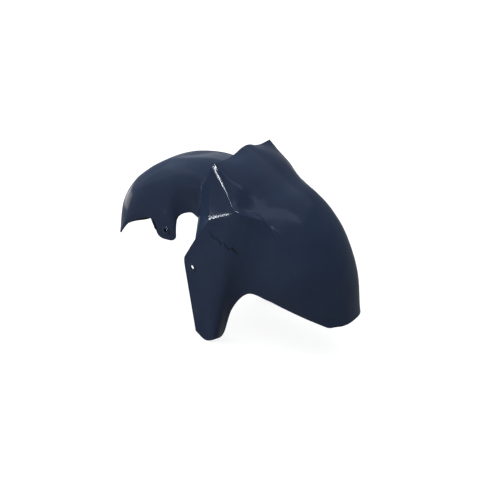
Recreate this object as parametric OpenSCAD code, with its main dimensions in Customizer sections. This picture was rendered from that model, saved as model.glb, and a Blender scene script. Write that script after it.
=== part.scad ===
// Front mudguard for a road motorcycle, one moulding.
// +X is forward, +Z runs up along the fork legs, the part is mirrored about the XZ plane.
// The skin is a loft: sections run from the crown down each side, through rails
// that follow the crown, its edge, the shoulder, the creases and the lower edge.

/* [Arch] */
// Radius of the rear crown about the wheel centre
crown_r = 329; // [322:1:345]
// Half width of the flanks behind the fork legs
flank_half = 70; // [67:0.5:74]
// Half width over the fork guards
guard_half = 125; // [121:0.5:135]
// Height of the deck's rear edge above the rear crown
deck_rise = 37; // [28:1:44]
// Angle of the tail end, from the nose side up over the crown
tail_angle = 158.5; // [152:0.5:164]

/* [Wall] */
// Wall thickness of the moulding
wall = 3; // [2.4:0.1:3.4]
// Extra thickness of the bead along the free edges
bead = 1.2; // [0:0.1:1.6]

/* [Fork bolts] */
// Diameter of the four bolt holes
bolt_d = 9; // [6.4:0.1:10]
// Diameter of the pad around a bolt hole
pad_d = 21; // [17:0.5:23]
// How far a pad stands out of the skin
pad_out = 0.8; // [0.6:0.1:2]
// How far a pad stands in from the skin
pad_in = 1; // [0.8:0.1:4]

/* [Hidden] */
navy = [0.10, 0.13, 0.21];
// wheel centre to the front bolts and to the rear bolts, in side view
front_bolt = [10, 119];
rear_bolt = [-107, 153];
// pieces of the section's bends, from the crown to the corner above the lower edge
bend_n = [3, 3, 3, 2, 2, 1, 2];
// columns between two neighbouring stations
rear_n = [3, 3, 2, 2, 2, 3, 3, 3];
front_n = [4, 4, 4, 4, 4, 4, 4, 4, 5];
flare_n = 3;
// how far the rear lugs stand out of the flanks
lug_out = 2;
// ribs round a pad: thickness, reach from the bolt, height at the pad and at the tip, bite into the wall
rib_thick = 2;
rib_reach = 24;
rib_high = 3;
rib_tip = 0.8;
rib_bite = 1;
// how far a cutter runs past what it cuts
past = 5;
// slots in the side panel: size, slant in side view, tilt of the bottom
louvre_long = 21;
louvre_wide = 5;
louvre_depth = 1.2;
louvre_slant = 45;
louvre_tilt = 8;
// where they are: x, half width and z on the skin, and how far the skin turns in there
louvre_at = [[64, 123.5, 206, 1], [81.5, 123.5, 198.5, 1], [99, 122.9, 191, 7], [116.5, 118.2, 183.5, 22]];
// part of the crown's height from which the deck moves, and the stations over which it fades
rise_from = 0.65;
rise_stations = 3;
// stations over which the tail end's turn fades
turn_stations = 2.5;

// Rear rails, each a point per station from the tail end to the fork
rear_crown = [[-297, 0, 98], [-272, 0, 177], [-233, 0, 233], [-193, 0, 266], [-162, 0, 286],
    [-129, 0, 303], [-85, 0, 317], [-28, 0, 325], [23, 0, 322]];
rear_rise = [[-293, 25, 97], [-271, 30, 177], [-232, 32, 232], [-193, 32, 265], [-162, 32, 285],
    [-128, 32, 302], [-85, 32, 316], [-28, 32, 324], [22, 32, 321]];
rear_shoulder = [[-277, 43, 97], [-253, 54, 164], [-219, 58, 219], [-182, 59, 251], [-153, 59, 270],
    [-121, 59, 285], [-80, 59, 298], [-27, 59, 306], [21, 59, 304]];
rear_side = [[-266, 54, 101], [-235, 65, 154], [-201, 69, 201], [-171, 70, 227], [-146, 70, 243],
    [-120, 70, 257], [-85, 71, 271], [-44, 71, 281], [-5, 71, 283]];
rear_low = [[-263, 58, 105], [-228, 68, 148], [-181, 71, 184], [-142, 72, 188], [-123, 72, 197],
    [-99, 72, 212], [-79, 72, 250], [-41, 72, 262], [-2, 71, 262]];
rear_edge = [[-259, 60, 108], [-212, 67, 147], [-152, 70, 170], [-131, 71, 136], [-106, 71, 131],
    [-82, 70, 140], [-77, 64, 188], [-46, 60, 207], [-21, 63, 202]];
rear = [rear_crown, rear_rise, rear_shoulder, rear_side, rear_low, rear_edge];
rear_soft = [0.45, 0.45, 0.45, 0.28];

// Front rails, each a point per station from the fork to the nose tip
crown = [[58, 0, 366], [90, 0, 351], [123, 0, 334], [150, 0, 317], [174, 0, 303],
    [210, 0, 288], [250, 0, 258], [288, 0, 211], [319, 0, 138], [332, 0, 46]];
crown_edge = [[55, 46, 348], [87, 47, 344], [121, 46, 329], [148, 45, 311], [169, 45, 297],
    [205, 45, 281], [244, 46, 251], [281, 44, 205], [313, 39, 132], [330, 24, 45.5]];
shoulder = [[53, 96, 349], [77, 94, 330], [107, 88, 313], [131, 82, 294], [151, 83, 275],
    [176, 86, 252], [208, 85, 226], [248, 81, 182], [289, 68, 116], [323, 40, 45]];
side_crest = [[43, 102, 338], [76, 105, 313], [105, 110, 284], [130, 104, 264], [152, 93, 263],
    [172, 91, 249], [206, 91, 214], [243, 87, 165], [281, 73, 102], [315, 46, 44]];
crease = [[55, 123, 236], [88, 120, 254], [119, 117, 267], [140, 111, 264], [158, 103, 259],
    [176, 96, 248], [206, 95, 202], [240, 90, 148], [274, 75, 90], [310, 50, 43]];
panel_top = [[20, 125, 187], [60, 125, 190], [100, 124, 195], [128, 116, 190], [148, 108, 190],
    [176, 102, 188], [204, 98, 168], [234, 91, 126], [269, 76, 78], [306, 54, 42]];
panel_mid = [[-13, 125, 134], [25, 125, 125], [88, 125, 112], [108, 114, 108], [122, 108, 110],
    [150, 103, 128], [194, 98, 122], [226, 90, 100], [263, 76, 66], [302, 56, 42]];
lower_edge = [[15, 125, -34], [42, 125, -47], [68, 123, -36], [64, 89, -40], [90, 92, 32],
    [133, 97, 83], [178, 92, 80], [214, 84, 69], [256, 73, 56], [298, 57, 42]];
rails = [crown, crown_edge, shoulder, side_crest, crease, panel_top, panel_mid, lower_edge];

// Sizes at which these rails are drawn, read from them
drawn_crown = round(norm(rear_crown[5]));
drawn_rise = crown[0][2] - drawn_crown;
drawn_guard = panel_mid[0][1];
drawn_flank = rear_side[3][1];
drawn_tail = 158.5;
// Scale of the side view, of the width across the guards and of the flanks
k = crown_r / drawn_crown;
w = guard_half / drawn_guard;
f = flank_half / drawn_flank;

// How round the section is at each rail between crown and lower edge, 0.45 is fully round
soft = [
    [0.45, 0.14, 0.40, 0.12, 0.30, 0.12],
    [0.45, 0.18, 0.40, 0.15, 0.40, 0.30],
    [0.45, 0.20, 0.35, 0.15, 0.40, 0.40],
    [0.45, 0.22, 0.30, 0.20, 0.45, 0.40],
    [0.45, 0.22, 0.30, 0.20, 0.45, 0.40],
    [0.45, 0.20, 0.30, 0.25, 0.45, 0.45],
    [0.45, 0.30, 0.40, 0.40, 0.45, 0.45],
    [0.45, 0.45, 0.45, 0.45, 0.45, 0.45],
    [0.45, 0.45, 0.45, 0.45, 0.45, 0.45],
    [0.45, 0.45, 0.45, 0.45, 0.45, 0.45]];

// Smooth curve through a list of points or numbers, t counts the points
function beyond(p, i) = let(n = len(p) - 1)
    i < 0 ? 2 * p[0] - p[1] : i > n ? 2 * p[n] - p[n - 1] : p[i];
function along(p, t) = let(i = min(floor(t), len(p) - 2), u = t - i,
    a = beyond(p, i - 1), b = p[i], c = p[i + 1], d = beyond(p, i + 2))
    b + u / 2 * (c - a + u * (2 * a - 5 * b + 4 * c - d + u * (3 * b - 3 * c + d - a)));

// Quadratic bend from a to b round corner c
function bend(a, c, b, t) = a * pow(1 - t, 2) + c * 2 * t * (1 - t) + b * pow(t, 2);

// Half section: straight runs and bends through the corners
function half_section(c, s) = let(n = len(c) - 1, m = [c[1][0], -c[1][1], c[1][2]],
    first = (c[0] + m) / 2, last = (c[0] + c[1]) / 2,
    from = [for (i = [1:n - 1]) c[i] + (c[i - 1] - c[i]) * s[i - 1]],
    to = [for (i = [1:n - 1]) c[i] + (c[i + 1] - c[i]) * s[i - 1]]) concat(
    [for (q = [0:bend_n[0]]) bend(first, c[0], last, 0.5 + 0.5 * q / bend_n[0])],
    [for (i = [1:n - 1]) each concat([from[i - 1]],
        [for (q = [1:bend_n[i]]) bend(from[i - 1], c[i], to[i - 1], q / bend_n[i])])],
    [(to[n - 2] + c[n]) / 2, c[n]]);

// Corners of the front section at station t
function front_corners(t) = [for (r = rails) let(p = along(r, t))
    [p[0] * k, -p[1] * w, p[2] * k + rise(t) * max(0, p[2] / crown[0][2] - rise_from)]];
// The deck's rear edge rises or falls, and this fades over the first stations
function rise(t) = (deck_rise - drawn_rise * k) * max(0, 1 - t / rise_stations) / (1 - rise_from);

// Corners of the rear section: the tail end turns about the wheel, and this fades too
function turned(p, a) = [p[0] * cos(a) - p[2] * sin(a), p[1], p[0] * sin(a) + p[2] * cos(a)];
function rear_corners(t) = let(a = (tail_angle - drawn_tail) * pow(max(0, 1 - t / turn_stations), 2))
    [for (r = rear) let(p = turned(along(r, t), a)) [p[0] * k, -p[1] * f, p[2] * k]];

// Stations and the columns between them, as one list of positions
function positions(n) = concat([for (i = [0:len(n) - 1], q = [0:n[i] - 1]) i + q / n[i]], [len(n)]);
rear_cols = [for (t = positions(rear_n)) half_section(rear_corners(t), rear_soft)];
front_cols = [for (t = positions(front_n))
    half_section(front_corners(t), [for (v = along(soft, t)) min(0.45, max(0.08, v))])];
rear_last = rear_cols[len(rear_cols) - 1];
rear_m = len(rear_last) - 1;
front_m = len(front_cols[0]) - 1;
flare_cols = [for (q = [1:flare_n - 1]) [for (j = [0:rear_m])
    rear_last[j] + (front_cols[0][j] - rear_last[j]) * q / flare_n]];
cols = concat(rear_cols, flare_cols, front_cols);
first_front = len(rear_cols) + len(flare_cols);
last_col = len(cols) - 1;

// Grid of the outer skin: row 0 is the crown, negative rows are the right side
function reach(i) = i < first_front ? rear_m : front_m;
function skin(i, j) = let(p = cols[i][abs(j)]) j > 0 ? [p[0], -p[1], p[2]] : p;
function near_skin(i, j, i0, j0) = i < 0 || i > last_col || abs(j) > reach(i) ? skin(i0, j0) : skin(i, j);
function unit(v) = v / norm(v);
function inward(i, j) = unit(cross(
    near_skin(i, j + 1, i, j) - near_skin(i, j - 1, i, j),
    near_skin(i + 1, j, i, j) - near_skin(i - 1, j, i, j)));
// the bead thickens the last two rows and columns toward the wheel
function at_edge(i, j) = abs(j) >= reach(i) - 1 || i <= 1 || i >= last_col - 1 ||
    (i == first_front && abs(j) > rear_m);
function inner(i, j) = skin(i, j) + inward(i, j) * (wall + (at_edge(i, j) ? bead : 0));

rows = 2 * front_m + 1;
per_side = (last_col + 1) * rows;
function id(i, j) = i * rows + j + front_m;
function cell(a, b, c, d) = [[a, b, c], [a, c, d]];
rim = concat(
    [for (j = [-rear_m:rear_m]) [0, j]],
    [for (i = [1:first_front]) [i, rear_m]],
    [for (j = [rear_m + 1:front_m]) [first_front, j]],
    [for (i = [first_front + 1:last_col]) [i, front_m]],
    [for (j = [1:2 * front_m]) [last_col, front_m - j]],
    [for (i = [1:last_col - first_front]) [last_col - i, -front_m]],
    [for (j = [front_m - 1:-1:rear_m]) [first_front, -j]],
    [for (i = [1:first_front - 1]) [first_front - i, -rear_m]]);

module shell() {
    points = concat(
        [for (i = [0:last_col], j = [-front_m:front_m]) abs(j) > reach(i) ? [0, 0, 0] : skin(i, j)],
        [for (i = [0:last_col], j = [-front_m:front_m]) abs(j) > reach(i) ? [0, 0, 0] : inner(i, j)]);
    outside = [for (i = [0:last_col - 1]) let(m = min(reach(i), reach(i + 1))) each
        [for (j = [-m:m - 1]) each cell(id(i, j), id(i, j + 1), id(i + 1, j + 1), id(i + 1, j))]];
    inside = [for (t = outside) [t[2] + per_side, t[1] + per_side, t[0] + per_side]];
    edge = [for (q = [0:len(rim) - 1])
        let(a = id(rim[q][0], rim[q][1]), n = rim[(q + 1) % len(rim)], b = id(n[0], n[1]))
        each cell(a, a + per_side, b + per_side, b)];
    polyhedron(points, concat(outside, inside, edge), convexity = 6);
}

// Something round on both sides at a point of the side view, y from and to on the right side
module both_sides(at, y0, y1, d) for (s = [-1, 1])
    translate([at[0] * k, s * y0, at[1] * k]) rotate([-90 * s, 0, 0]) cylinder(h = y1 - y0, d = d, $fn = 48);

// Pad of a bolt hole, inside and outside the wall, with tapered ribs on the inside
module bolt_pad(at, half, turns) {
    both_sides(at, half - wall - pad_in, half + pad_out, pad_d);
    for (s = [-1, 1], a = turns) translate([at[0] * k, s * (half - wall), at[1] * k]) rotate([0, -a, 0])
        linear_extrude(rib_thick, center = true) polygon([[pad_d / 2 - rib_bite, s * rib_bite],
            [rib_reach, s * rib_bite], [rib_reach, -s * rib_tip], [pad_d / 2 - rib_bite, -s * rib_high]]);
}
module bolt_hole(at, half) both_sides(at, half - wall - pad_in - past, half + pad_out + past, bolt_d);

// Row of shallow slanted slots pressed into the side panel
module slot(l, d) {
    square([l - d, d], center = true);
    for (e = [-1, 1]) translate([e * (l - d) / 2, 0]) circle(d = d, $fn = 24);
}
module louvre(at) for (s = [-1, 1]) translate([at[0] * k, s * at[1] * w, at[2] * k]) rotate([0, 0, -s * at[3]])
    rotate([0, louvre_slant, 0]) rotate([-s * (90 - louvre_tilt), 0, 0]) translate([0, 0, -louvre_depth])
    linear_extrude(louvre_depth + past) slot(louvre_long, louvre_wide);

module mudguard() color(navy) translate([-front_bolt[0] * k, 0, -front_bolt[1] * k]) difference() {
    union() {
        shell();
        bolt_pad(front_bolt, guard_half, [0, 60, -60]);
        bolt_pad(rear_bolt, flank_half + lug_out, [50, 90, 130]);
    }
    bolt_hole(front_bolt, guard_half);
    bolt_hole(rear_bolt, flank_half + lug_out);
    for (at = louvre_at) louvre(at);
}

mudguard();
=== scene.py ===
import bpy
import bmesh
import numpy as np
from math import cos, pi, radians, sin
from mathutils import Matrix, Vector, kdtree


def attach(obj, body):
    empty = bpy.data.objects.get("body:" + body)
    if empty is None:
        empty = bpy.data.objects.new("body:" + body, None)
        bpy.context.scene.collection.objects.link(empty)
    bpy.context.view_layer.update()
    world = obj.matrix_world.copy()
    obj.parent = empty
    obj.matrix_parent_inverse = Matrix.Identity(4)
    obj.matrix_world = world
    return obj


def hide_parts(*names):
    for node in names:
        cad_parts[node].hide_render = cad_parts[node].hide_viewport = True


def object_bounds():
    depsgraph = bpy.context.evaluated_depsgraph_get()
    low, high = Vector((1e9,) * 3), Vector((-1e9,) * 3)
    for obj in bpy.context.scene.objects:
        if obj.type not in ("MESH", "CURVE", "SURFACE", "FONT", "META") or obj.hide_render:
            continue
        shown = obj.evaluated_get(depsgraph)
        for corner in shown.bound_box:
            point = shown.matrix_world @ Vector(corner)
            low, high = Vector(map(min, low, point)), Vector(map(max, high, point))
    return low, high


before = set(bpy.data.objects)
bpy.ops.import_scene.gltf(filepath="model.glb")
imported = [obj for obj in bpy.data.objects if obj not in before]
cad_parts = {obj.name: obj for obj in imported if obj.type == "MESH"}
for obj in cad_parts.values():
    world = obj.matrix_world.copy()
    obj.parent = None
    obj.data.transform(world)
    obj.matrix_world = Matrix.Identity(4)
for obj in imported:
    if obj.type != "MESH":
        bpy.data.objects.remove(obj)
cad_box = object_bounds()

# Sizes in millimetres about the wheel centre, the same as in the part's source
WALL, BEAD = 3.0, 1.2
GUARD, FLANK, LUG_OUT = 125.0, 70.0, 2.0
FRONT_BOLT, REAR_BOLT = (10.0, 119.0), (-107.0, 153.0)
BOLT_D, PAD_D, PAD_OUT, PAD_IN = 9.0, 21.0, 0.8, 1.0
RIB_THICK, RIB_REACH, RIB_HIGH, RIB_TIP, RIB_BITE = 2.0, 24.0, 3.0, 0.8, 1.0
# the rear pads are deeper than in the solid, so their holes look dark from in front
REAR_PAD_IN = 5.0
# the turns of the ribs round a front pad and round a rear pad, in degrees
FRONT_RIBS, REAR_RIBS = (0, 60, -60), (50, 90, 130)

# Slots in the side panel: the middle of each, and how far the panel is turned there in degrees
SLOTS = [(64, 123.5, 206, 1), (81.5, 123.5, 198.5, 1), (99, 122.9, 191, 7), (116.5, 118.2, 183.5, 22)]
# their slant in side view, and the lean of the cutter, which at 90 would stand square to the panel
SLOT_SLANT, SLOT_LEAN = 45, 82
# the cutter's length, width and height, from its rounded bottom to the open mouth
SLOT_LOOPS = [(18.6, 2.6, -1.25), (19.6, 3.6, -1.1), (20.3, 4.3, -0.7), (20.7, 4.7, 0.0), (24, 8, 3.5)]

# Rounding of a pad's ends: distance in from its radius, distance from the end
PAD_FOOT = [(0.9, 0.0), (0.3, 0.25), (0.0, 0.9)]
PAD_RIM = [(0.0, 0.6), (0.2, 0.2), (0.6, 0.0)]
# Chamfers of a hole's ends: distance out from its radius, distance from the end
HOLE_FOOT = [(2.0, -2.0), (0.5, 0.0), (0.0, 0.5)]
HOLE_RIM = [(0.0, 0.5), (0.5, 0.0), (2.0, -1.5)]
# Radius of the free edges, and how far in from them the paint is worn and lightened as a painted sheen
RIM_ROUND, WORN_AND_SHEEN = 1.1, 7.0
# Edges that turn by more than this many degrees stay sharp
SHARP = 32

# Rails of the rear sheet, one point a station from the tail forward
REAR_CROWN = [[-297, 0, 98], [-272, 0, 177], [-233, 0, 233], [-193, 0, 266], [-162, 0, 286],
              [-129, 0, 303], [-85, 0, 317], [-28, 0, 325], [23, 0, 322]]
REAR_RISE = [[-293, 25, 97], [-271, 30, 177], [-232, 32, 232], [-193, 32, 265], [-162, 32, 285],
             [-128, 32, 302], [-85, 32, 316], [-28, 32, 324], [22, 32, 321]]
REAR_SHOULDER = [[-277, 43, 97], [-253, 54, 164], [-219, 58, 219], [-182, 59, 251], [-153, 59, 270],
                 [-121, 59, 285], [-80, 59, 298], [-27, 59, 306], [21, 59, 304]]
REAR_SIDE = [[-266, 54, 101], [-235, 65, 154], [-201, 69, 201], [-171, 70, 227], [-146, 70, 243],
             [-120, 70, 257], [-85, 71, 271], [-44, 71, 281], [-5, 71, 283]]
REAR_LOW = [[-263, 58, 105], [-228, 68, 148], [-181, 71, 184], [-142, 72, 188], [-123, 72, 197],
            [-99, 72, 212], [-79, 72, 250], [-41, 72, 262], [-2, 71, 262]]
REAR_EDGE = [[-259, 60, 108], [-212, 67, 147], [-152, 70, 170], [-131, 71, 136], [-106, 71, 131],
             [-82, 70, 140], [-77, 64, 188], [-46, 60, 207], [-21, 63, 202]]
REAR = np.array([REAR_CROWN, REAR_RISE, REAR_SHOULDER, REAR_SIDE, REAR_LOW, REAR_EDGE], float)
REAR_SOFT = [0.45, 0.45, 0.45, 0.28]

# Rails of the front, one point a station from the deck's rear edge to the nose
CROWN = [[58, 0, 366], [90, 0, 351], [123, 0, 334], [150, 0, 317], [174, 0, 303],
         [210, 0, 288], [250, 0, 258], [288, 0, 211], [319, 0, 138], [332, 0, 46]]
CROWN_EDGE = [[55, 46, 348], [87, 47, 344], [121, 46, 329], [148, 45, 311], [169, 45, 297],
              [205, 45, 281], [244, 46, 251], [281, 44, 205], [313, 39, 132], [330, 24, 45.5]]
SHOULDER = [[53, 96, 349], [77, 94, 330], [107, 88, 313], [131, 82, 294], [151, 83, 275],
            [176, 86, 252], [208, 85, 226], [248, 81, 182], [289, 68, 116], [323, 40, 45]]
SIDE_CREST = [[43, 102, 338], [76, 105, 313], [105, 110, 284], [130, 104, 264], [152, 93, 263],
              [172, 91, 249], [206, 91, 214], [243, 87, 165], [281, 73, 102], [315, 46, 44]]
CREASE = [[55, 123, 236], [88, 120, 254], [119, 117, 267], [140, 111, 264], [158, 103, 259],
          [176, 96, 248], [206, 95, 202], [240, 90, 148], [274, 75, 90], [310, 50, 43]]
PANEL_TOP = [[20, 125, 187], [60, 125, 190], [100, 124, 195], [128, 116, 190], [148, 108, 190],
             [176, 102, 188], [204, 98, 168], [234, 91, 126], [269, 76, 78], [306, 54, 42]]
PANEL_MID = [[-13, 125, 134], [25, 125, 125], [88, 125, 112], [108, 114, 108], [122, 108, 110],
             [150, 103, 128], [194, 98, 122], [226, 90, 100], [263, 76, 66], [302, 56, 42]]
LOWER_EDGE = [[15, 125, -34], [42, 125, -47], [68, 123, -36], [64, 89, -40], [90, 92, 32],
              [133, 97, 83], [178, 92, 80], [214, 84, 69], [256, 73, 56], [298, 57, 42]]
RAILS = np.array([CROWN, CROWN_EDGE, SHOULDER, SIDE_CREST, CREASE, PANEL_TOP, PANEL_MID, LOWER_EDGE], float)

# Softness of the bend at each inner rail, as a share of the sides next to it, one row a station
SOFT = np.array([
    [0.45, 0.14, 0.40, 0.12, 0.30, 0.12],
    [0.45, 0.18, 0.40, 0.15, 0.40, 0.30],
    [0.45, 0.20, 0.35, 0.15, 0.40, 0.40],
    [0.45, 0.22, 0.30, 0.20, 0.45, 0.40],
    [0.45, 0.22, 0.30, 0.20, 0.45, 0.40],
    [0.45, 0.20, 0.30, 0.25, 0.45, 0.45],
    [0.45, 0.30, 0.40, 0.40, 0.45, 0.45],
    [0.45, 0.45, 0.45, 0.45, 0.45, 0.45],
    [0.45, 0.45, 0.45, 0.45, 0.45, 0.45],
    [0.45, 0.45, 0.45, 0.45, 0.45, 0.45]])
SOFT_MIN, SOFT_MAX = 0.08, 0.45

# Pieces of a section: its bends, the straight runs between them, and the run to the edge
BEND_N = [10, 10, 8, 6, 6, 4, 6]
RUN_N = [3, 3, 5, 5, 4, 6]
LAST_N = 8
# the bend of the front in whose middle the rear sheet's edge comes in
JOIN_BEND = 5
# columns between two stations, and in the strip that joins the rear sheet to the front
REAR_N, FRONT_N, FLARE_N = 9, 12, 7
# columns and rows from a free edge inward that the bead thickens
BEAD_ROWS = 5

MIRROR = np.array([1, -1, 1])


def beyond(p, i):
    """Point i of a rail, also one step past its ends."""
    n = len(p) - 1
    if i < 0:
        return 2 * p[0] - p[1]
    return 2 * p[n] - p[n - 1] if i > n else p[i]


def along(p, t):
    """A smooth curve through the points of a rail, t counting the points."""
    i = min(int(t), len(p) - 2)
    u = t - i
    a, b, c, d = beyond(p, i - 1), p[i], p[i + 1], beyond(p, i + 2)
    return b + u / 2 * (c - a + u * (2 * a - 5 * b + 4 * c - d + u * (3 * b - 3 * c + d - a)))


def bend(a, c, b, t):
    return a * (1 - t) ** 2 + c * 2 * t * (1 - t) + b * t ** 2


def run(a, b, n):
    return [a + (b - a) * q / n for q in range(1, n + 1)]


def half_section(corners, soft, last_n):
    """Points from the crown down to the edge, and the number of the one where the rear sheet joins."""
    n = len(corners) - 1
    first = (corners[0] + corners[1] * MIRROR) / 2
    last = (corners[0] + corners[1]) / 2
    pts = [bend(first, corners[0], last, 0.5 + 0.5 * q / BEND_N[0]) for q in range(BEND_N[0] + 1)]
    join = None
    for i in range(1, n):
        a = corners[i] + (corners[i - 1] - corners[i]) * soft[i - 1]
        b = corners[i] + (corners[i + 1] - corners[i]) * soft[i - 1]
        pts += run(pts[-1], a, RUN_N[i - 1])
        if i == JOIN_BEND:
            join = len(pts) - 1 + BEND_N[i] // 2
        pts += [bend(a, corners[i], b, q / BEND_N[i]) for q in range(1, BEND_N[i] + 1)]
    return pts + run(pts[-1], corners[n], last_n), join


def columns():
    """Columns of the right half's skin from the tail to the nose, and the number of the front's first."""
    front = []
    for q in range((len(CROWN) - 1) * FRONT_N + 1):
        t = q / FRONT_N
        soft = np.clip(along(SOFT, t), SOFT_MIN, SOFT_MAX)
        pts, join = half_section([along(r, t) * MIRROR for r in RAILS], soft, LAST_N)
        front.append(np.array(pts))
    # the rear sheet's last run is as long as it takes to meet the front point for point
    bends = len(REAR) - 1
    tail_n = join - sum(BEND_N[:bends]) - sum(RUN_N[:bends - 1])
    rear = []
    for q in range((len(REAR_CROWN) - 1) * REAR_N + 1):
        pts, _ = half_section([along(r, q / REAR_N) * MIRROR for r in REAR], REAR_SOFT, tail_n)
        rear.append(np.array(pts))
    m = len(rear[0])
    flare = [rear[-1] + (front[0][:m] - rear[-1]) * q / FLARE_N for q in range(1, FLARE_N)]
    return rear + flare + front, len(rear) + len(flare)


def smooth(cols, split, rounds=3, step=0.4):
    """Evens the curvature a little, with the free edges and the deck's rear edge kept."""
    g = np.full((len(cols), max(len(c) for c in cols), 3), np.nan)
    for i, c in enumerate(cols):
        g[i, :len(c)] = c
    for _ in range(rounds):
        left = np.concatenate([g[:, 1:2] * MIRROR, g[:, :-1]], axis=1)
        right = np.concatenate([g[:, 1:], g[:, -1:] * np.nan], axis=1)
        fore = np.concatenate([g[1:], g[-1:] * np.nan], axis=0)
        aft = np.concatenate([g[:1] * np.nan, g[:-1]], axis=0)
        mean = (left + right + fore + aft) / 4
        ok = ~np.isnan(mean).any(axis=2)
        ok[split - 1:split + 1, :] = False
        g[ok] = g[ok] * (1 - step) + mean[ok] * step
    return [g[i, :len(c)] for i, c in enumerate(cols)]


cols, split = columns()
cols = smooth(cols, split)
# The closer sections swing out a touch wider than the solid's, so they stop at its width
half_width = cad_box[1][1] * 1000
for c in cols:
    c[:, 1] = np.clip(c[:, 1], -half_width, half_width)
REAR_M, FRONT_M, LAST = len(cols[0]) - 1, len(cols[-1]) - 1, len(cols) - 1


def reach(i):
    """Points of column i from the crown to its edge, on either side."""
    return REAR_M if i < split else FRONT_M


def skin(i, j):
    return cols[i][abs(j)] * MIRROR if j > 0 else cols[i][abs(j)]


def neighbour(i, j, di, dj):
    """The skin's point next to i, j, or the same point where there is none."""
    inside_skin = 0 <= i + di <= LAST and abs(j + dj) <= reach(i + di)
    return skin(i + di, j + dj) if inside_skin else skin(i, j)


def rim_path():
    """The free edge once round, as columns and points."""
    path = [(0, j) for j in range(-REAR_M, REAR_M + 1)]
    path += [(i, REAR_M) for i in range(1, split + 1)]
    path += [(split, j) for j in range(REAR_M + 1, FRONT_M + 1)]
    path += [(i, FRONT_M) for i in range(split + 1, LAST + 1)]
    path += [(LAST, FRONT_M - j) for j in range(1, 2 * FRONT_M + 1)]
    path += [(LAST - i, -FRONT_M) for i in range(1, LAST - split + 1)]
    path += [(split, -j) for j in range(FRONT_M - 1, REAR_M - 1, -1)]
    path += [(split - i, -REAR_M) for i in range(1, split)]
    return path


def shell():
    """Points in metres, outer skin first, then faces, and the edges of the rim."""
    ids, outer, inner = {}, [], []
    for i in range(LAST + 1):
        m = reach(i)
        for j in range(-m, m + 1):
            across = neighbour(i, j, 0, 1) - neighbour(i, j, 0, -1)
            n = np.cross(across, neighbour(i, j, 1, 0) - neighbour(i, j, -1, 0))
            n = n / (np.linalg.norm(n) + 1e-12)
            rows = min(m - abs(j), i, LAST - i) if i != split or abs(j) <= REAR_M else 0
            ids[i, j] = len(outer)
            outer.append(skin(i, j))
            inner.append(skin(i, j) + n * (WALL + (BEAD if rows < BEAD_ROWS else 0)))
    n = len(outer)
    faces = []
    for i in range(LAST):
        m = min(reach(i), reach(i + 1))
        for j in range(-m, m):
            q = [ids[i, j], ids[i, j + 1], ids[i + 1, j + 1], ids[i + 1, j]]
            faces.append(q[::-1])
            faces.append([v + n for v in q])
    loop = [ids[r] for r in rim_path()]
    rim_edges = set()
    for a, b in zip(loop, loop[1:] + loop[:1]):
        faces.append([a, b, b + n, a + n])
        rim_edges.add((min(a, b), max(a, b)))
        rim_edges.add((min(a, b) + n, max(a, b) + n))
    pts = np.array(outer + inner) - np.array([FRONT_BOLT[0], 0, FRONT_BOLT[1]])
    return pts / 1000, faces, rim_edges


def make_object(name, pts, faces):
    me = bpy.data.meshes.new(name)
    me.from_pydata([tuple(p) for p in pts], [], faces)
    me.update()
    ob = bpy.data.objects.new(name, me)
    bpy.context.scene.collection.objects.link(ob)
    return ob


def face_outward(ob):
    bm = bmesh.new()
    bm.from_mesh(ob.data)
    bmesh.ops.recalc_face_normals(bm, faces=bm.faces)
    bm.to_mesh(ob.data)
    bm.free()


def apply_modifiers(ob):
    dg = bpy.context.evaluated_depsgraph_get()
    me = bpy.data.meshes.new_from_object(ob.evaluated_get(dg))
    ob.modifiers.clear()
    ob.data = me


def round_rims(ob, rim_edges):
    weight = ob.data.attributes.new("bevel_weight_edge", "FLOAT", "EDGE")
    for e in ob.data.edges:
        if tuple(sorted(e.vertices)) in rim_edges:
            weight.data[e.index].value = 1.0
    mod = ob.modifiers.new("rim", "BEVEL")
    mod.limit_method = "WEIGHT"
    mod.width = RIM_ROUND / 1000
    mod.segments = 3
    apply_modifiers(ob)


def ring(r, h, n=64):
    return [(r * cos(2 * pi * q / n), r * sin(2 * pi * q / n), h) for q in range(n)]


def stadium(long, wide, h, n=10):
    r, a = wide / 2, long / 2 - wide / 2
    pts = [(a + r * cos(v), r * sin(v), h) for v in np.linspace(-pi / 2, pi / 2, n)]
    return pts + [(-a - r * cos(v), -r * sin(v), h) for v in np.linspace(-pi / 2, pi / 2, n)]


def solid(name, loops, matrix):
    """Closed solid through loops of the same length, in millimetres, put into the part's frame."""
    n, top = len(loops[0]), len(loops) - 1
    faces = [list(range(n))[::-1], [top * n + q for q in range(n)]]
    for a in range(top):
        for q in range(n):
            r = (q + 1) % n
            faces.append([a * n + q, a * n + r, (a + 1) * n + r, (a + 1) * n + q])
    pts = [matrix @ Vector(p) for loop in loops for p in loop]
    pts = [((p.x - FRONT_BOLT[0]) / 1000, p.y / 1000, (p.z - FRONT_BOLT[1]) / 1000) for p in pts]
    ob = make_object(name, pts, faces)
    face_outward(ob)
    return ob


def turn(degrees, axis):
    return Matrix.Rotation(radians(degrees), 4, axis)


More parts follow.
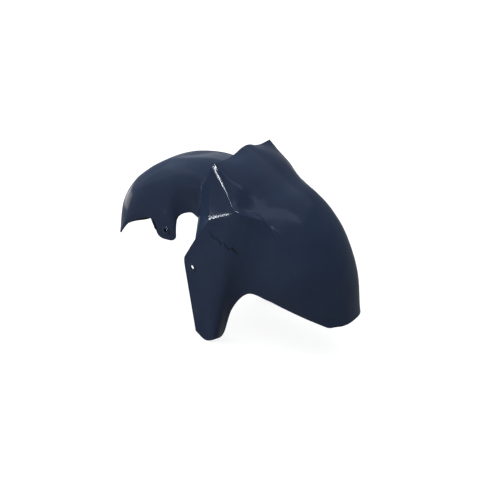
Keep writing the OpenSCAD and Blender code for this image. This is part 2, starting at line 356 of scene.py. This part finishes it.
def bolt_pads():
    """Pads and ribs to add, and the bolt holes to cut, on both sides."""
    adds, cuts = [], []
    r, b, t = PAD_D / 2, BOLT_D / 2, RIB_THICK / 2
    for (x, z), half, deep, angles in [(FRONT_BOLT, GUARD, PAD_IN, FRONT_RIBS),
                                       (REAR_BOLT, FLANK + LUG_OUT, REAR_PAD_IN, REAR_RIBS)]:
        low, top = -WALL - deep, PAD_OUT
        for s in (-1, 1):
            # local z points out of the side, the origin is on the skin
            at_skin = Matrix.Translation((x, s * half, z)) @ turn(-90 * s, "X")
            pad = [ring(r - a, low + h) for a, h in PAD_FOOT] + [ring(r - a, top - h) for a, h in PAD_RIM]
            adds.append(solid("pad", pad, at_skin))
            hole = [ring(b + a, low + h) for a, h in HOLE_FOOT] + [ring(b + a, top - h) for a, h in HOLE_RIM]
            cuts.append(solid("hole", hole, at_skin))
            side = [(r - RIB_BITE, s * RIB_BITE), (RIB_REACH, s * RIB_BITE),
                    (RIB_REACH, -s * RIB_TIP), (r - RIB_BITE, -s * RIB_HIGH)]
            for angle in angles:
                at_wall = Matrix.Translation((x, s * (half - WALL), z)) @ turn(-angle, "Y")
                adds.append(solid("rib", [[(u, v, h) for u, v in side] for h in (-t, t)], at_wall))
    return adds, cuts


def slot_cutters():
    loops = [stadium(*size) for size in SLOT_LOOPS]
    return [solid("slot", loops, Matrix.Translation((x, s * y, z)) @ turn(-s * angle, "Z")
                  @ turn(SLOT_SLANT, "Y") @ turn(-s * SLOT_LEAN, "X"))
            for x, y, z, angle in SLOTS for s in (-1, 1)]


def carve(ob, tools, how):
    for tool in tools:
        mod = ob.modifiers.new("cut", "BOOLEAN")
        mod.operation = how
        mod.solver = "MANIFOLD"
        mod.object = tool
    apply_modifiers(ob)
    for tool in tools:
        bpy.data.objects.remove(tool)


def tree_of(points):
    tree = kdtree.KDTree(len(points))
    for i, c in enumerate(points):
        tree.insert(c, i)
    tree.balance()
    return tree


def mark_for_paint(ob, pts, rim_edges):
    """Gives each point how near it is to the rim, and whether it lies on the inside."""
    n = len(pts) // 2
    rim_tree = tree_of([pts[v] for e in rim_edges for v in e])
    out_tree, in_tree = tree_of(pts[:n]), tree_of(pts[n:])
    near_rim = ob.data.attributes.new("near_rim", "FLOAT", "POINT")
    inside = ob.data.attributes.new("inside", "FLOAT", "POINT")
    for i, v in enumerate(ob.data.vertices):
        near_rim.data[i].value = max(0.0, 1 - rim_tree.find(v.co)[2] / (WORN_AND_SHEEN / 1000))
        inside.data[i].value = 1.0 if in_tree.find(v.co)[2] < out_tree.find(v.co)[2] else 0.0


class Nodes:
    """Short calls to make and link the nodes of one material or world."""

    def __init__(self, owner):
        owner.use_nodes = True
        self.tree = owner.node_tree
        self.tree.nodes.clear()

    def add(self, kind, **values):
        node = self.tree.nodes.new("ShaderNode" + kind)
        for key, value in values.items():
            setattr(node, key, value)
        return node

    def put(self, socket, value):
        """Links a node's output to a socket, or sets the socket to a number or colour."""
        if isinstance(value, bpy.types.NodeSocket):
            self.tree.links.new(value, socket)
        else:
            socket.default_value = value

    def coordinate(self, name):
        return self.add("TexCoord").outputs[name]

    def noise(self, at, scale, detail=3.0, rough=0.55):
        node = self.add("TexNoise")
        for socket, value in (("Vector", at), ("Scale", scale), ("Detail", detail), ("Roughness", rough)):
            self.put(node.inputs[socket], value)
        return node.outputs["Fac"]

    def ramp(self, value, low, high, to_low=0.0, to_high=1.0):
        node = self.add("MapRange")
        for socket, v in (("Value", value), ("From Min", low), ("From Max", high),
                          ("To Min", to_low), ("To Max", to_high)):
            self.put(node.inputs[socket], v)
        return node.outputs[0]

    def math(self, how, a, b):
        node = self.add("Math", operation=how)
        self.put(node.inputs[0], a)
        self.put(node.inputs[1], b)
        return node.outputs[0]

    def mix(self, fac, a, b):
        node = self.add("Mix", data_type="RGBA")
        for socket, value in ((0, fac), (6, a), (7, b)):
            self.put(node.inputs[socket], value)
        return node.outputs[2]

    def attribute(self, name):
        return self.add("Attribute", attribute_name=name).outputs["Fac"]

    def bump(self, height, strength, distance, normal=None):
        node = self.add("Bump")
        for socket, value in (("Height", height), ("Strength", strength), ("Distance", distance)):
            self.put(node.inputs[socket], value)
        if normal:
            self.put(node.inputs["Normal"], normal)
        return node.outputs[0]

    def seen(self):
        """1 for a ray from the camera, off gloss or through glass, 0 for one that lights a surface."""
        path = self.add("LightPath").outputs
        direct = self.math("MAXIMUM", path["Is Camera Ray"], path["Is Glossy Ray"])
        return self.math("MAXIMUM", direct, path["Is Transmission Ray"])


def hairlines(n, place):
    """Short hairline scratches, in two directions."""
    both = []
    for spin, stretch in ((0.5, (1.0, 0.03, 0.05)), (-0.9, (0.04, 1.0, 0.03))):
        turned = n.add("Mapping")
        turned.inputs["Rotation"].default_value = (spin, 0.6 * spin, spin)
        turned.inputs["Scale"].default_value = stretch
        n.put(turned.inputs["Vector"], place)
        lines = n.ramp(n.noise(turned.outputs[0], 900.0, 2.0, 0.5), 0.66, 0.72)
        both.append(n.math("MULTIPLY", lines, n.ramp(n.noise(place, 14.0, 2.0), 0.5, 0.62)))
    return n.math("MAXIMUM", both[0], both[1])


def paint():
    """Dark blue gloss paint on moulded plastic, a little worn and dusty, with pale wear and a painted sheen
    along the rims.
    """
    mat = bpy.data.materials.new("navy_gloss")
    n = Nodes(mat)
    place = n.coordinate("Object")
    cloud = n.noise(place, 38.0, 4.0, 0.6)
    rim, inner = n.attribute("near_rim"), n.attribute("inside")
    dust = n.math("MULTIPLY", n.ramp(n.noise(place, 16.0, 5.0, 0.65), 0.55, 0.8),
                  n.ramp(n.noise(place, 420.0, 2.0), 0.4, 0.65))
    # pale patches near the rims: real chipped wear, and also a painted sheen on the edges
    chips_and_rim_sheen = n.math("MULTIPLY", n.ramp(rim, 0.55, 0.95), n.ramp(n.noise(place, 160.0, 5.0, 0.7), 0.52, 0.62))
    scratch = hairlines(n, place)

    # blue that drifts a little, with a fine fleck in it
    blue, light_blue = (0.0155, 0.0252, 0.0530, 1), (0.0195, 0.0325, 0.0630, 1)
    color = n.mix(n.ramp(n.noise(place, 7.0, 2.0), 0.35, 0.65), blue, light_blue)
    color = n.mix(n.ramp(cloud, 0.4, 0.75, 0.0, 0.35), color, (0.020, 0.033, 0.064, 1))
    fleck = n.ramp(n.noise(place, 1500.0, 1.0, 0.5), 0.58, 0.72, 0.0, 0.4)
    color = n.mix(fleck, color, (0.036, 0.056, 0.104, 1))
    # dust, and pale wear along the free edges, which is also a painted sheen on the rims
    color = n.mix(n.math("MULTIPLY", dust, 0.10), color, (0.10, 0.105, 0.115, 1))
    color = n.mix(n.math("MULTIPLY", chips_and_rim_sheen, 0.55), color, (0.075, 0.082, 0.098, 1))
    # the inside is the bare dark plastic, mottled and matt
    bare, light_bare = (0.010, 0.0115, 0.0145, 1), (0.020, 0.0215, 0.025, 1)
    color = n.mix(inner, color, n.mix(n.ramp(n.noise(place, 60.0, 5.0), 0.35, 0.7), bare, light_bare))
    color = n.mix(n.math("MULTIPLY", scratch, 0.25), color, (0.055, 0.062, 0.080, 1))

    worst = n.math("MAXIMUM", chips_and_rim_sheen, n.math("MAXIMUM", scratch, dust))
    rough = n.math("ADD", n.ramp(cloud, 0.3, 0.7, 0.44, 0.56), n.math("MULTIPLY", worst, 0.2))
    rough = n.math("ADD", rough, n.math("MULTIPLY", inner, 0.1))

    # orange peel and slow waves of the lacquer, chips and scratches, a moulded grain on the inside
    peel = n.bump(n.noise(place, 330.0, 2.0, 0.4), 0.045, 0.0002)
    wave = n.bump(n.noise(place, 45.0, 2.0, 0.5), 0.10, 0.0006, peel)
    worn = n.bump(n.math("ADD", chips_and_rim_sheen, scratch), 0.15, -0.0001, wave)
    grain = n.bump(n.math("MULTIPLY", n.noise(place, 1100.0, 3.0, 0.6), inner), 0.3, 0.0001, worn)

    # the gloss is in the thin coat alone
    shader = n.add("BsdfPrincipled")
    for socket, value in (("Base Color", color), ("Roughness", rough), ("Normal", grain),
                          ("Coat Normal", wave), ("Specular IOR Level", 0.0), ("Coat Weight", 0.16),
                          ("Coat IOR", 1.4), ("Coat Roughness", 0.13)):
        n.put(shader.inputs[socket], value)
    n.put(n.add("OutputMaterial").inputs[0], shader.outputs[0])
    return mat


def mudguard():
    pts, faces, rim_edges = shell()
    ob = make_object("mudguard_skin", pts, faces)
    face_outward(ob)
    round_rims(ob, rim_edges)
    adds, cuts = bolt_pads()
    carve(ob, adds, "UNION")
    carve(ob, cuts + slot_cutters(), "DIFFERENCE")
    for p in ob.data.polygons:
        p.use_smooth = True
    ob.data.set_sharp_from_angle(angle=radians(SHARP))
    mark_for_paint(ob, pts, rim_edges)
    ob.data.materials.clear()
    ob.data.materials.append(paint())
    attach(ob, "root")
    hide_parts("mudguard")


def floor():
    """Pale floor with the object's shadow, which fades out to white in the distance."""
    half, z = 20, cad_box[0][2] - 0.002
    ob = make_object("floor", [(-half, -half, z), (half, -half, z), (half, half, z), (-half, half, z)],
                     [[0, 1, 2, 3]])
    mat = bpy.data.materials.new("pale_floor")
    n = Nodes(mat)
    matt = n.add("BsdfDiffuse")
    matt.inputs["Color"].default_value = (0.35, 0.35, 0.35, 1)
    far = n.add("VectorMath", operation="LENGTH")
    n.put(far.inputs[0], n.coordinate("Object"))
    white = n.ramp(far.outputs["Value"], 0.7, 4.0, 0.8, 1.0)
    glow = n.add("Emission")
    n.put(glow.inputs["Strength"], n.math("MULTIPLY", n.seen(), white))
    both = n.add("AddShader")
    n.put(both.inputs[0], matt.outputs[0])
    n.put(both.inputs[1], glow.outputs[0])
    n.put(n.add("OutputMaterial").inputs[0], both.outputs[0])
    ob.data.materials.append(mat)


def studio():
    """White where it is seen, and a soft dim light, strongest from above and behind."""
    world = bpy.data.worlds.new("studio")
    bpy.context.scene.world = world
    n = Nodes(world)
    toward = n.add("VectorMath", operation="DOT_PRODUCT")
    toward.inputs[1].default_value = (-0.5, -0.1, 0.85)
    n.put(toward.inputs[0], n.coordinate("Generated"))
    dim = n.add("Background")
    dim.inputs["Color"].default_value = (0.9, 0.94, 1, 1)
    n.put(dim.inputs["Strength"], n.ramp(toward.outputs["Value"], -0.3, 0.95, 0.12, 0.85))
    white = n.add("Background")
    white.inputs["Color"].default_value = (1, 1, 1, 1)
    white.inputs["Strength"].default_value = 1.0
    mix = n.add("MixShader")
    n.put(mix.inputs[0], n.seen())
    n.put(mix.inputs[1], dim.outputs[0])
    n.put(mix.inputs[2], white.outputs[0])
    n.put(n.add("OutputWorld").inputs[0], mix.outputs[0])


def from_angles(az, el):
    """Unit vector at an azimuth from +X and an elevation, both in degrees."""
    az, el = radians(az), radians(el)
    return Vector((cos(el) * cos(az), cos(el) * sin(az), sin(el)))


def aim(ob, at, to):
    ob.location = at
    ob.rotation_euler = (Vector(to) - Vector(at)).to_track_quat("-Z", "Y").to_euler()


def area(name, at, to, size, power, color=(1, 1, 1)):
    light = bpy.data.lights.new(name, "AREA")
    light.shape = "RECTANGLE"
    light.size, light.size_y = size
    light.energy = power
    light.color = color
    ob = bpy.data.objects.new(name, light)
    bpy.context.scene.collection.objects.link(ob)
    aim(ob, at, to)
    return ob


def lights():
    def sky(az, el, dist):
        return Vector((0.05, -0.1, 0.18)) + dist * from_angles(az, el)

    panel, shoulder = (0, -0.1, 0.15), (0.13, -0.085, 0.17)
    area("top", (-0.9, -0.3, 2.4), (-0.5, -0.2, 0), (6, 6), 125)
    area("side", sky(-135, 18, 3.0), panel, (2.2, 2.2), 8)
    area("behind", sky(-168, 18, 3.0), panel, (2.2, 2.2), 16)
    # small lamps that only show as highlights in the lacquer
    cool, pale_blue, blue, warm = (0.9, 0.95, 1), (0.85, 0.93, 1), (0.65, 0.85, 1), (1, 0.97, 0.9)
    for name, at, to, size, power, color in [
            ("crest", sky(-97, 18, 2.5), (0.06, -0.1, 0.21), (0.8, 0.16), 110, (0.92, 0.95, 1)),
            ("panel", sky(-123.5, -10.5, 1.2), (0.07, -0.12, 0.12), (0.05, 0.07), 3.4, cool),
            ("shoulder", sky(-65, 33, 2.5), shoulder, (0.14, 0.14), 3.5, cool),
            ("band", sky(-54, 51, 2.5), shoulder, (1.1, 0.6), 9, blue),
            ("rear_top", sky(131, 19, 2.5), (-0.02, -0.05, 0.2), (1.4, 0.8), 11, pale_blue),
            ("low", (-1.05, 0.05, -0.085), (-0.05, -0.08, 0.1), (0.62, 0.15), 1.9, warm)]:
        lamp = area(name, at, to, size, power, color)
        lamp.visible_diffuse = False
        lamp.visible_camera = False


def camera():
    """At the photograph's angle: forward of square to the right side, and above it."""
    forward, up, distance = 36, 25, 1.7
    look = Vector((0.033, 0, 0.025))
    data = bpy.data.cameras.new("camera")
    data.sensor_width = 36
    data.lens = 58.78
    data.clip_end = 50
    ob = bpy.data.objects.new("camera", data)
    bpy.context.scene.collection.objects.link(ob)
    aim(ob, look + distance * from_angles(forward - 90, up), look)
    bpy.context.scene.camera = ob


mudguard()
floor()
studio()
lights()
camera()
bpy.context.scene.view_settings.view_transform = "Standard"
